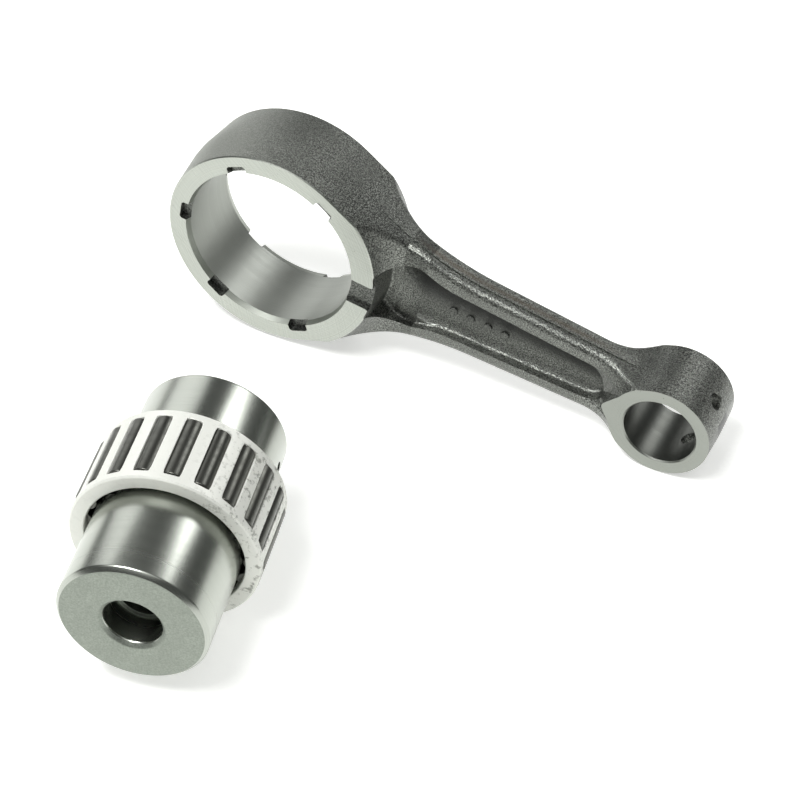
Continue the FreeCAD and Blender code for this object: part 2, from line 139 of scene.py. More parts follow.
PIN_BORE_LENGTH = mount_size("pin_oil_bore", "length_mm")
FLOOR_LEVEL = CAD_BOX[0][2]


def read(items, key, width=1, kind=float):
    """One value, or one row of width values, for each item of a mesh's collection."""
    values = np.empty(len(items) * width, kind)
    items.foreach_get(key, values)
    return values.reshape(-1, width) if width > 1 else values


def span_along_axis(node):
    """Length of a node along the pin's line: its furthest points along that line, in metres."""
    along = read(frame["nodes"][node].data.vertices, "co", 3) @ np.array(PIN_AXIS)
    return float(along.max() - along.min())


PIN_LENGTH = span_along_axis("crank_pin")
CAGE_WIDTH = span_along_axis("bearing_cage")
ROLLER_LENGTH = span_along_axis(ROLLERS[0])


# ---- settings a user would change
def length(name, description, millimetres):
    """A length the user may change; its default is given in millimetres."""
    return FloatProperty(name=name, description=description, default=millimetres * MM, unit="LENGTH")


def angle(name, description, degrees):
    """An angle the user may change; its default is given in degrees."""
    return FloatProperty(name=name, description=description, default=math.radians(degrees), subtype="ANGLE")


def colour(name, description, value):
    """A colour the user may change, in linear light."""
    return FloatVectorProperty(
        name=name, description=description, default=value, subtype="COLOR", min=0, max=1)


def count(name, description, value, least):
    """A whole number the user may change."""
    return IntProperty(name=name, description=description, default=value, min=least)


class RodSettings(bpy.types.PropertyGroup):
    """Finishes of the connecting rod"""

    skin: colour("Forged skin", "Colour of the shot-blasted forging", (0.122, 0.127, 0.116))
    face: colour("Turned faces", "Colour of the turned faces", (0.42, 0.44, 0.40))
    bore: colour("Ground bores", "Colour of the ground bores", (0.38, 0.395, 0.365))
    small_face: colour("Small-end faces", "Colour of the duller small-end faces", (0.275, 0.288, 0.262))
    small_bore: colour("Small-end bore", "Colour of the darker small-end bore", (0.13, 0.135, 0.124))
    seam: colour("Seam", "Colour of the trimmed seam", (0.105, 0.088, 0.068))
    grain: length("Grain", "Size of the shot-blasted grain", 0.34)
    dish: length("Dish", "How far the pockets look dished", 2.8)
    grain_depth: length("Grain depth", "Depth of the shot-blasted grain", 0.13)
    crease: angle("Crease", "Angle over which an edge stays sharp", 28)


class PinSettings(bpy.types.PropertyGroup):
    """Finishes and small sizes of the crank pin"""

    ground: colour("Ground wall", "Colour of the ground cylinder", (0.42, 0.44, 0.40))
    end: colour("End faces", "Colour of the end faces", (0.27, 0.295, 0.258))
    chamfer: length("Chamfer", "Chamfer at each end", 1.0)
    seat_chamfer: length("Seat chamfer", "Chamfer at the mouth of each plug seat", 1.0)
    edge_round: length("Edge round", "Round left on every turned edge", 0.3)
    hole: length("Feed hole", "Radius of the oil feed holes", 1.25)
    hole_from_end: length("Feed hole place", "Feed hole to the back end", 8.0)
    crease: angle("Crease", "Angle over which an edge stays sharp", 35)
    steps: count("Steps", "Divisions round the pin", 192, 24)


class CageSettings(bpy.types.PropertyGroup):
    """Finish and small sizes of the bearing cage"""

    plate: colour("Plate", "Colour of the silver plate", (0.74, 0.75, 0.70))
    wear: colour("Wear", "Colour where the plate is rubbed", (0.26, 0.27, 0.235))
    pin_gap: length("Rim gap", "Rim to the crank pin", 1.25)
    edge: length("Edge", "Bevel at the outside of each rim", 0.4)
    window_width: length("Window width", "Opening in the outside of the cage", 3.8)
    window_depth: length("Window depth", "How far that opening reaches in", 1.5)
    side_gap: length("Side gap", "Roller to its pocket", 0.1)
    end_gap: length("End gap", "Roller to the end of its window", 0.15)
    corner: length("Corner", "Round in the corners of the windows", 0.5)
    lip: length("Lip", "Round along the edge of the windows", 0.12)
    crease: angle("Crease", "Angle over which an edge stays sharp", 32)
    side_steps: count("Side steps", "Divisions along each side of a window", 14, 4)


class RollerSettings(bpy.types.PropertyGroup):
    """Finish and small sizes of the rollers"""

    steel: colour("Steel", "Colour of the lapped rollers", (0.12, 0.122, 0.11))
    end_round: length("End round", "Round at each end", 0.35)
    crease: angle("Crease", "Angle over which an edge stays sharp", 40)
    steps: count("Steps", "Divisions round a roller", 64, 12)


class StageSettings(bpy.types.PropertyGroup):
    """Floor, room light and camera"""

    floor: colour("Floor", "Colour of the floor", (0.80, 0.805, 0.79))
    glow: FloatProperty(name="Glow", description="Light that comes up through the floor", default=0.66, min=0)
    room: colour("Room", "Faint light from all round", (0.085, 0.088, 0.085))
    camera_place: FloatVectorProperty(
        name="Camera place", description="Where the camera stands", default=(0.19717, -0.38836, 0.37088),
        subtype="TRANSLATION", unit="LENGTH")
    camera_aim: FloatVectorProperty(
        name="Camera aim", description="Direction the camera looks in", default=(-0.27771, 0.65570, -0.70209),
        subtype="DIRECTION")
    camera_roll: angle("Camera roll", "Turn of the camera about its aim", 3.569)
    lens: FloatProperty(name="Lens", description="Focal length in millimetres", default=104.55, unit="CAMERA")


# ---- meshes
def weld(points, faces, grid=1e-6):
    """Joins points that fall in the same cell of a fine grid. faces is an array of point numbers."""
    cells = np.round(points / grid).astype(np.int64)
    _, first, renumbered = np.unique(cells, axis=0, return_index=True, return_inverse=True)
    return points[first], renumbered.reshape(-1)[faces]


def volume(points, faces):
    """Six times the enclosed volume: the sum of each face's fan of tetrahedra from the origin."""
    fans = [points[faces[:, [0, i, i + 1]]] for i in range(1, faces.shape[1] - 1)]
    return sum(np.einsum("ij,ij->", fan[:, 0], np.cross(fan[:, 1], fan[:, 2])) for fan in fans)


def new_piece(name, points, faces, materials, caps=()):
    """An object whose faces point outwards.

    caps holds rings of point numbers, each closed by one flat face.
    """
    if volume(points, faces) < 0:
        faces = faces[:, ::-1]
        caps = [ring[::-1] for ring in caps]
    mesh = bpy.data.meshes.new(name)
    mesh.from_pydata(points.tolist(), [], faces.tolist() + [list(ring) for ring in caps])
    for material in materials:
        mesh.materials.append(material)
    piece = bpy.data.objects.new(name, mesh)
    bpy.context.scene.collection.objects.link(piece)
    return piece


def crease(piece, limit):
    """Smooths a piece, with a sharp edge where its faces turn by more than limit or two finishes meet."""
    mesh = piece.data
    mesh.shade_smooth()
    mesh.set_sharp_from_angle(angle=limit)
    zones = read(mesh.polygons, "material_index", kind=np.int32)
    sizes = read(mesh.polygons, "loop_total", kind=np.int32)
    edges = read(mesh.loops, "edge_index", kind=np.int32)
    lowest, highest = np.full(len(mesh.edges), len(mesh.materials)), np.zeros(len(mesh.edges), int)
    np.minimum.at(lowest, edges, np.repeat(zones, sizes))
    np.maximum.at(highest, edges, np.repeat(zones, sizes))
    marks = mesh.attributes["sharp_edge"].data
    marks.foreach_set("value", read(marks, "value", kind=bool) | (lowest < highest))


def hand_over(piece, node):
    """The piece stands for a CAD node and moves with its body."""
    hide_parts(node)
    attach(piece, frame["nodes"][node]["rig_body"])


def grid_faces(rows, columns, close_rows=False, close_columns=False):
    """Quads of a grid of points numbered row by row, joined end to end where a direction is closed."""
    r = np.arange(rows if close_rows else rows - 1)[:, None]
    c = np.arange(columns if close_columns else columns - 1)[None, :]
    r2, c2 = (r + 1) % rows, (c + 1) % columns
    corners = [r * columns + c, r * columns + c2, r2 * columns + c2, r2 * columns + c]
    return np.stack(np.broadcast_arrays(*corners), axis=-1).reshape(-1, 4)


def rounded(corners, radius, steps=4, closed=False):
    """Profile with each corner cut by a curve.

    A corner P between its neighbours becomes the quadratic curve from A to B with P as its middle
    control point, where A and B lie on the two sides at most a radius, or a third of a side, from P.
    """
    corners = np.asarray(corners, float)
    before, after = np.roll(corners, 1, axis=0), np.roll(corners, -1, axis=0)
    t = np.linspace(0, 1, steps)[None, :, None]
    ends = []
    for other in (before, after):
        side = other - corners
        size = np.linalg.norm(side, axis=1, keepdims=True)
        ends.append(corners + side * np.minimum(radius / size, 1 / 3))
    a, b, p = ends[0][:, None], ends[1][:, None], corners[:, None]
    curve = (1 - t) ** 2 * a + 2 * t * (1 - t) * p + t ** 2 * b
    if closed:
        return curve.reshape(-1, 2)
    return np.vstack([corners[:1], curve[1:-1].reshape(-1, 2), corners[-1:]])


def about_pin_line(radius, turn, along, centre):
    """Points about a line through centre, parallel to the pin's axis.

    Point = centre + radius * (cos turn * up + sin turn * side) + along * axis.
    """
    up, side, axis = np.array(UP), np.array(PIN_SIDE), np.array(PIN_AXIS)
    radius, turn, along = (np.asarray(v, float)[..., None] for v in (radius, turn, along))
    return np.array(centre) + radius * (np.cos(turn) * up + np.sin(turn) * side) + along * axis


def full_turn(steps):
    """Equal angles once round, the last one short of the first."""
    return np.linspace(0, 2 * math.pi, steps, endpoint=False)


def lathe(profile, steps, centre):
    """Points of a profile of (radius, along) pairs, each turned once round the pin's line in equal steps."""
    turn, radius, along = np.broadcast_arrays(full_turn(steps), profile[:, :1], profile[:, 1:])
    return about_pin_line(radius, turn, along, centre).reshape(-1, 3)


# ---- finishes
MIX_SHARE, MIX_A, MIX_B, MIX_RESULT = 0, 6, 7, 2    # the Mix node's own sockets for colours
MIDDLE = (0.3, 0.7)                                 # the range that most of a noise lies in


def shade(tone, factor):
    """A colour made lighter or darker."""
    return tuple(channel * factor for channel in tone)


class Finish:
    """A material under construction; every pattern reads Object coordinates, in metres."""

    def __init__(self, name, tone, roughness, metallic=1.0):
        self.material = bpy.data.materials.new(name)
        self.material.use_nodes = True
        self.tree = self.material.node_tree
        self.shader = self.tree.nodes["Principled BSDF"]
        self.shader.inputs["Base Color"].default_value = (*tone, 1)
        self.shader.inputs["Roughness"].default_value = roughness
        self.shader.inputs["Metallic"].default_value = metallic
        self.place = self.node("ShaderNodeTexCoord").outputs["Object"]
        self.normal = None

    def node(self, kind, inputs=None, **settings):
        """Adds a node; inputs maps a socket to a value, or to another node's output to link."""
        node = self.tree.nodes.new(kind)
        for name, value in settings.items():
            setattr(node, name, value)
        for socket, value in (inputs or {}).items():
            if isinstance(value, bpy.types.NodeSocket):
                self.tree.links.new(value, node.inputs[socket])
            else:
                node.inputs[socket].default_value = value
        return node

    def maths(self, operation, *values):
        """A sum on outputs or plain numbers."""
        return self.node("ShaderNodeMath", dict(enumerate(values)), operation=operation).outputs[0]

    def times(self, a, b):
        return self.maths("MULTIPLY", a, b)

    def vector(self, operation, *values):
        """The node of a sum on directions and places."""
        return self.node("ShaderNodeVectorMath", dict(enumerate(values)), operation=operation)

    def noise(self, size, detail=2.0, rough=0.5):
        """Noise whose lumps are about size metres across."""
        inputs = {"Vector": self.place, "Scale": 1 / size, "Detail": detail, "Roughness": rough}
        return self.node("ShaderNodeTexNoise", inputs).outputs["Fac"]

    def lines(self, size, distance):
        """Noise that changes only with one distance, so it draws fine parallel lines."""
        inputs = {"W": distance, "Scale": 1 / size, "Detail": 3.0, "Roughness": 0.6}
        return self.node("ShaderNodeTexNoise", inputs, noise_dimensions="1D").outputs["Fac"]

    def distance_from_line(self, centre, axis):
        """Distance from a straight line through centre: the length of the offset crossed with its axis."""
        offset = self.vector("SUBTRACT", self.place, tuple(centre)).outputs["Vector"]
        across = self.vector("CROSS_PRODUCT", offset, tuple(axis)).outputs["Vector"]
        return self.vector("LENGTH", across).outputs["Value"]

    def along_line(self, axis):
        """Distance from the origin along a direction."""
        return self.vector("DOT_PRODUCT", self.place, tuple(axis)).outputs["Value"]

    def ramp(self, value, low, high, out_low=0.0, out_high=1.0):
        """out_low where value is low, out_high where it is high, in proportion between, level beyond."""
        inputs = {"Value": value, "From Min": low, "From Max": high, "To Min": out_low, "To Max": out_high}
        return self.node("ShaderNodeMapRange", inputs).outputs["Result"]

    def mix(self, share, a, b):
        """Colour a where share is 0 and b where it is 1; a and b are plain colours or outputs."""
        a, b = (tone if isinstance(tone, bpy.types.NodeSocket) else (*tone, 1) for tone in (a, b))
        inputs = {MIX_SHARE: share, MIX_A: a, MIX_B: b}
        return self.node("ShaderNodeMix", inputs, data_type="RGBA").outputs[MIX_RESULT]

    def vary(self, pattern, tone, low, high, span=MIDDLE):
        """The tone times low where the pattern is at the start of a span, and times high at its end."""
        return self.mix(self.ramp(pattern, *span), shade(tone, low), shade(tone, high))

    def paint(self, tone):
        self.tree.links.new(tone, self.shader.inputs["Base Color"])

    def gloss(self, roughness):
        self.tree.links.new(roughness, self.shader.inputs["Roughness"])

    def bump(self, height, depth, strength=1.0):
        """Raises the surface by height, from 0 to 1, times depth in metres; bumps add up."""
        inputs = {"Height": height, "Distance": depth, "Strength": strength}
        if self.normal is not None:
            inputs["Normal"] = self.normal
        self.normal = self.node("ShaderNodeBump", inputs).outputs["Normal"]
        self.tree.links.new(self.normal, self.shader.inputs["Normal"])


# where the rod's skin changes, each as (from, to), along the rod or out from its middle plane
SMOOTH_TO_GRAIN = (-26 * MM, 6 * MM)
DULL_TO_SATIN = (-10 * MM, 34 * MM)
SHANK_STARTS = (32 * MM, 38 * MM)
SEAM_ENDS = (78 * MM, 90 * MM)
SEAM_SIDES = (0.2 * MM, 1.1 * MM)
POCKET_WALL = (2.6 * MM, 3.3 * MM)
POCKET_HALF_WIDTH = 9.6 * MM    # carried back to the big-end centre
SHANK_TAPER = 0.046             # how much that width shrinks for each unit along the rod


def forged_skin(settings):
    """Shot-blasted forging, smoother and paler round the big end, with a brown seam along the shank.

    The pocket is dished by a bump: w squared, where w is the distance from the rod's middle line over
    the pocket's half width, held at 1 outside the pocket. A painted shade darkens the pocket towards its
    upper edge.
    """
    skin = settings.skin
    finish = Finish("forged_skin", skin, 0.4, metallic=0.9)
    along, up = finish.along_line(ROD_LINE), finish.along_line(ROD_UP)
    away = finish.maths("ABSOLUTE", finish.along_line(BORE_AXIS))
    grain = finish.noise(settings.grain, 3.0, 0.6)
    coarse = finish.noise(settings.grain * 4, 2.0, 0.5)
    patches = finish.noise(9 * MM, 3.0, 0.6)
    grainy = finish.ramp(along, *SMOOTH_TO_GRAIN)
    on_shank = finish.ramp(along, *SHANK_STARTS)

    half_width = finish.maths("MULTIPLY_ADD", along, -SHANK_TAPER, POCKET_HALF_WIDTH)
    side = finish.maths("DIVIDE", up, half_width)
    w = finish.maths("ABSOLUTE", side)
    deep = finish.times(finish.ramp(away, *POCKET_WALL, 1.0, 0.0), finish.ramp(w, 1.0, 1.1, 1.0, 0.0))
    deep = finish.times(deep, on_shank)

    blasted = finish.vary(grain, skin, 0.34, 2.8, (0.40, 0.66))
    blasted = finish.mix(finish.ramp(patches, 0.35, 0.7, 0.0, 0.5), blasted, skin)
    # painted shade: the pocket's colour is darkened towards its upper edge
    painted_pocket_shade = finish.times(finish.ramp(side, -0.75, 0.7, 0.0, 0.95), deep)
    blasted = finish.mix(painted_pocket_shade, blasted, shade(skin, 0.10))
    base = finish.mix(finish.ramp(grainy, 0.0, 1.0, 0.85, 0.0), blasted, shade(skin, 2.6))
    seam = finish.times(finish.ramp(away, *SEAM_SIDES, 0.6, 0.0), on_shank)
    seam = finish.times(seam, finish.ramp(along, *SEAM_ENDS, 1.0, 0.0))
    finish.paint(finish.mix(seam, base, settings.seam))
    finish.gloss(finish.ramp(along, *DULL_TO_SATIN, 0.50, 0.31))

    w = finish.maths("MINIMUM", w, 1.0)
    finish.bump(finish.times(finish.times(w, w), on_shank), settings.dish)
    rough = finish.ramp(grainy, 0.0, 1.0, 0.12, 1.0)
    for pattern in (coarse, grain):
        finish.bump(finish.times(pattern, rough), settings.grain_depth)
    return finish.material


def turned_face(name, face, centres):
    """Ground flat face: fine scratches along arcs about far centres, with a few dull patches and pits."""
    finish = Finish(name, face, 0.3)
    tone = None
    for centre in centres:
        scratch = finish.lines(0.30 * MM, finish.distance_from_line(centre, BORE_AXIS))
        finish.bump(scratch, 0.012 * MM)
        tone = scratch if tone is None else finish.times(tone, scratch)
    patches = finish.noise(6 * MM, 4.0, 0.6)
    finish.gloss(finish.ramp(patches, *MIDDLE, 0.27, 0.38))
    base = finish.vary(tone, face, 0.80, 1.08, (0.03, 0.18))
    pits = finish.ramp(finish.noise(0.7 * MM, 1.0), 0.76, 0.80, 0.0, 0.6)
    finish.paint(finish.mix(pits, base, shade(face, 0.3)))
    return finish.material


def ground_bore(name, bore, dull):
    """Ground bore: fine lines and broad soft streaks round the bore."""
    finish = Finish(name, bore, dull)
    across = finish.along_line(BORE_AXIS)
    fine, broad = finish.lines(0.12 * MM, across), finish.lines(1.1 * MM, across)
    finish.bump(fine, 0.006 * MM)
    finish.gloss(finish.ramp(broad, *MIDDLE, dull - 0.04, dull + 0.04))
    finish.paint(finish.vary(fine, bore, 1.08, 0.86))
    return finish.material


def milled_notch(settings):
    """Rough oil notches: dark coarse grain with paler crests."""
    finish = Finish("milled_notch", settings.bore, 0.45)
    grain = finish.noise(0.5 * MM, 3.0, 0.6)
    finish.paint(finish.vary(grain, settings.bore, 0.14, 0.5, (0.38, 0.62)))
    finish.bump(grain, 0.12 * MM)
    return finish.material


def ground_cylinder(settings):
    """Ground crank pin: fine grinding lines and soft streaks round it."""
    finish = Finish("ground_cylinder", settings.ground, 0.24)
    along = finish.along_line(PIN_AXIS)
    fine, broad = finish.lines(0.45 * MM, along), finish.lines(1.6 * MM, along)
    finish.bump(fine, 0.0004 * MM, 0.3)
    finish.gloss(finish.ramp(broad, *MIDDLE, 0.255, 0.275))
    finish.paint(finish.vary(fine, settings.ground, 1.03, 0.96))
    return finish.material


def pin_end_face(settings):
    """Heat-treated end face: matt grey with fine turning rings, a fine grain and faint stains."""
    finish = Finish("pin_end_face", settings.end, 0.48)
    rings = finish.lines(0.28 * MM, finish.distance_from_line(PIN_CENTRE, PIN_AXIS))
    grain, stains = finish.noise(0.42 * MM, 3.0, 0.6), finish.noise(5 * MM, 4.0, 0.6)
    finish.bump(rings, 0.010 * MM)
    finish.bump(grain, 0.022 * MM)
    base = finish.vary(grain, settings.end, 0.74, 1.22)
    finish.paint(finish.mix(finish.ramp(stains, 0.4, 0.8, 0.0, 0.35), base, shade(settings.end, 0.7)))
    finish.gloss(finish.ramp(grain, *MIDDLE, 0.42, 0.54))
    return finish.material


def silver_plate(settings):
    """Silver plate: chalky white, rubbed through to grey in streaks and spots on the sliding side."""
    finish = Finish("silver_plate", settings.plate, 0.5, metallic=0.25)
    spots, fine = finish.noise(1.7 * MM, 6.0, 0.72), finish.noise(0.25 * MM, 2.0, 0.5)
    middle = PIN_CENTRE.dot(PIN_SIDE)
    side = finish.ramp(finish.along_line(PIN_SIDE), middle + 4 * MM, middle + 17 * MM)
    worn = finish.times(finish.ramp(spots, 0.53, 0.63), finish.ramp(side, 0.0, 1.0, 0.06, 0.9))
    finish.paint(finish.mix(worn, settings.plate, settings.wear))
    finish.gloss(finish.ramp(spots, *MIDDLE, 0.42, 0.56))
    finish.bump(spots, 0.03 * MM)
    finish.bump(fine, 0.01 * MM)
    return finish.material


def lapped_roller(settings):
    """Lapped roller: fine lines round it and a light oil film in long soft streaks."""
    finish = Finish("lapped_roller", settings.steel, 0.36)
    along = finish.along_line(PIN_AXIS)
    film, fine = finish.lines(2.4 * MM, along), finish.lines(0.12 * MM, along)
    finish.gloss(finish.ramp(film, *MIDDLE, 0.33, 0.40))
    finish.paint(finish.vary(film, settings.steel, 1.05, 0.9))
    finish.bump(fine, 0.002 * MM)
    return finish.material


def floor_paper(settings):
    """Pale paper lit softly from below, with a faint tooth."""
    finish = Finish("floor_paper", settings.floor, 0.9, metallic=0.0)
    finish.shader.inputs["Emission Color"].default_value = (*settings.floor, 1)
    finish.shader.inputs["Emission Strength"].default_value = settings.glow
    finish.bump(finish.noise(0.8 * MM), 0.02 * MM)
    return finish.material


# ---- the rod
SKIN, BIG_FACE, SMALL_FACE, BORE, NOTCH, CHAMFER, SMALL_END_BORE = range(7)
FLAT, TURNED, STEEP = 0.999, 0.3, 0.15    # how far a normal leans along the bores: all, partly, hardly
EDGE = 0.06 * MM              # how exactly a triangle has to lie on a machined surface
BIG_CHAMFER = 0.7 * MM        # radial
SMALL_CHAMFER = 0.5 * MM
FACE_BREAK = 0.35 * MM
NOTCH_REACH = 2.35 * MM
NOTCH_DEPTH = 1.9 * MM
SLOT_HALF_WIDTH = 5.3 * MM
SLOT_REACH = 9 * MM
SCRATCH_CENTRE = 0.09         # how far off the middles of the scratches' arcs are


def rod_zones(points, triangles):
    """Which finish each triangle has, from its middle and its normal in the rod's own directions."""
    corners = points[triangles]
    middle = corners.mean(axis=1)
    normal = np.cross(corners[:, 1] - corners[:, 0], corners[:, 2] - corners[:, 0])
    normal /= np.linalg.norm(normal, axis=1, keepdims=True)
    along, up = middle @ np.array(ROD_LINE), middle @ np.array(ROD_UP)
    level, facing = np.abs(middle[:, 1]), np.abs(normal[:, 1])
    big, small = np.hypot(along, up), np.hypot(along - CENTRE_DISTANCE, up)
    big_half = along < CENTRE_DISTANCE / 2
    small_face = np.abs(points[:, 1][points @ np.array(ROD_LINE) > CENTRE_DISTANCE / 2]).max()
    flat, steep = facing > FLAT, facing < STEEP
    sloping = ~flat & ~steep
    outer = level > THRUST_FACE - NOTCH_DEPTH
    zones = np.full(len(triangles), SKIN)
    zones[outer & (big < BIG_BORE + SLOT_REACH) & (np.abs(up) < SLOT_HALF_WIDTH) & (along > 0)] = NOTCH
    zones[outer & (big < BIG_BORE + NOTCH_REACH)] = NOTCH
    zones[(level > THRUST_FACE - FACE_BREAK) & (facing > TURNED) & big_half] = BIG_FACE
    zones[flat & (level > small_face - EDGE) & ~big_half] = SMALL_FACE
    zones[outer & (big < BIG_BORE + BIG_CHAMFER) & sloping] = CHAMFER
    zones[(small < SMALL_BORE + SMALL_CHAMFER) & sloping] = SMALL_FACE
    zones[steep & (np.abs(big - BIG_BORE) < EDGE)] = BORE
    zones[steep & (np.abs(small - SMALL_BORE) < EDGE)] = SMALL_END_BORE
    return zones


class BuildRod(bpy.types.Operator):
    """Builds the forged rod with its turned faces and ground bores"""

    bl_idname = "rod_kit.build_rod"
    bl_label = "Connecting rod"

    def execute(self, context):
        settings = context.scene.rod_kit_rod
        source = frame["nodes"]["connecting_rod"].data
        corners = read(source.loops, "vertex_index", kind=np.int32).reshape(-1, 3)
        points, triangles = weld(read(source.vertices, "co", 3), corners)
        slivers = (triangles == triangles[:, [1, 2, 0]]).any(axis=1)
        triangles = triangles[~slivers]
        far = SCRATCH_CENTRE
        big_arcs = [(-far, 0, -far / 2), (far / 2, 0, far), (0, 0, 0)]
        small_arcs = [SMALL_CENTRE + Vector((far, 0, far)), SMALL_CENTRE]
        finishes = [
            forged_skin(settings),
            turned_face("turned_big_end", settings.face, big_arcs),
            turned_face("turned_small_end", settings.small_face, small_arcs),
            ground_bore("ground_bore", settings.bore, 0.45),
            milled_notch(settings),
            ground_bore("turned_chamfer", settings.face, 0.40),
            ground_bore("ground_small_bore", settings.small_bore, 0.38),
        ]
        piece = new_piece("rod_forging", points, triangles, finishes)
        piece.data.polygons.foreach_set("material_index", rod_zones(points, triangles).astype(np.int32))
        crease(piece, settings.crease)
        hand_over(piece, "connecting_rod")
        return {"FINISHED"}


# ---- the crank pin
END_FACING = 0.9              # how far a normal leans along the pin on its end faces
SEAT_FACING = 0.65            # the same on the chamfer of a plug seat


def drill(along, radius, inside, outside, steps=32):
    """Points and faces of a round drill, square to the pin's line and pointing to its side.

    Ring point = centre + along * axis + radius * (cos t * axis + sin t * up); the ring is set off
    sideways by inside and by outside, and the two are joined.
    """
    turn, axis, side = full_turn(steps)[:, None], np.array(PIN_AXIS), np.array(PIN_SIDE)
    ring = along * axis + radius * (np.cos(turn) * axis + np.sin(turn) * np.array(UP))
    points = np.array(PIN_CENTRE) + np.vstack([ring + inside * side, ring + outside * side])
    caps = [np.arange(steps)[::-1], np.arange(steps) + steps]
    return points, grid_faces(2, steps, close_columns=True), caps


def cut_out(piece, tools):
    """Cuts the tools out of a piece for good, and removes them."""
    for tool in tools:
        modifier = piece.modifiers.new("cut", "BOOLEAN")
        modifier.object = tool
        modifier.operation = "DIFFERENCE"
        modifier.solver = "EXACT"
    depsgraph = bpy.context.evaluated_depsgraph_get()
    mesh = bpy.data.meshes.new_from_object(piece.evaluated_get(depsgraph))
    piece.modifiers.clear()
    piece.data = mesh
    for tool in tools:
        bpy.data.objects.remove(tool)


class BuildPin(bpy.types.Operator):
    """Builds the crank pin: a turned outline with chamfers and a stepped bore, and its oil feed holes"""

    bl_idname = "rod_kit.build_pin"
    bl_label = "Crank pin"

    def execute(self, context):
        settings = context.scene.rod_kit_pin
        half, chamfer = PIN_LENGTH / 2, settings.chamfer
        mouth = PIN_SEAT + settings.seat_chamfer
        upper = [(PIN_BORE, PIN_BORE_LENGTH / 2), (PIN_SEAT, PIN_BORE_LENGTH / 2),
                 (PIN_SEAT, half - settings.seat_chamfer), (mouth, half), (PIN_RADIUS - chamfer, half),
                 (PIN_RADIUS, half - chamfer)]
        lower = [(radius, -along) for radius, along in reversed(upper)]
        profile = rounded(upper + lower, settings.edge_round, closed=True)
        points = lathe(profile, settings.steps, PIN_CENTRE)
        faces = grid_faces(len(profile), settings.steps, close_rows=True, close_columns=True)
        finishes = [ground_cylinder(settings), pin_end_face(settings)]
        piece = new_piece("ground_crank_pin", points, faces, finishes)
        tools = []
        bearing = (CAGE_CENTRE - PIN_CENTRE).dot(PIN_AXIS)
        for number, along in enumerate((half - settings.hole_from_end, bearing)):
            wall, rings, caps = drill(along, settings.hole, PIN_BORE / 2, PIN_RADIUS + chamfer)
            tools.append(new_piece(f"drill_{number}", wall, rings, [], caps))
        cut_out(piece, tools)
        polygons, axis = piece.data.polygons, np.array(PIN_AXIS)
        facing = np.abs(read(polygons, "normal", 3) @ axis)
        offset = np.cross(read(polygons, "center", 3) - np.array(PIN_CENTRE), axis)
        inside = np.linalg.norm(offset, axis=1) < mouth
        endways = (facing > END_FACING) | (inside & (facing > SEAT_FACING))
        polygons.foreach_set("material_index", endways.astype(np.int32))
        crease(piece, settings.crease)
        hand_over(piece, "crank_pin")
        return {"FINISHED"}


# ---- the cage
POCKET_CORNER = 0.1 * MM      # round in the corners of the pockets under the windows
POCKET_MOUTH = 0.4 * MM       # from the inside of the cage to the last loop of a pocket


def box_loop(half_across, half_along, corner, steps):
    """Points (across, along) round a rectangle with rounded corners, the same number on each side.

    Each side runs corner to corner, and the points near a corner slide onto its arc: a point is moved
    towards the middle of the corner's square until it is a corner radius from it.
    """
    t = np.linspace(-1, 1, steps, endpoint=False)
    one = np.ones_like(t)
    across = np.concatenate([t, one, -t, -one]) * half_across
    along = np.concatenate([-one, t, one, -t]) * half_along
    core = np.stack([np.clip(across, -(half_across - corner), half_across - corner),
                     np.clip(along, -(half_along - corner), half_along - corner)], axis=-1)
    offset = np.stack([across, along], axis=-1) - core
    size = np.maximum(np.linalg.norm(offset, axis=1, keepdims=True), corner)
    return core + offset * (corner / size if corner > 0 else 1)


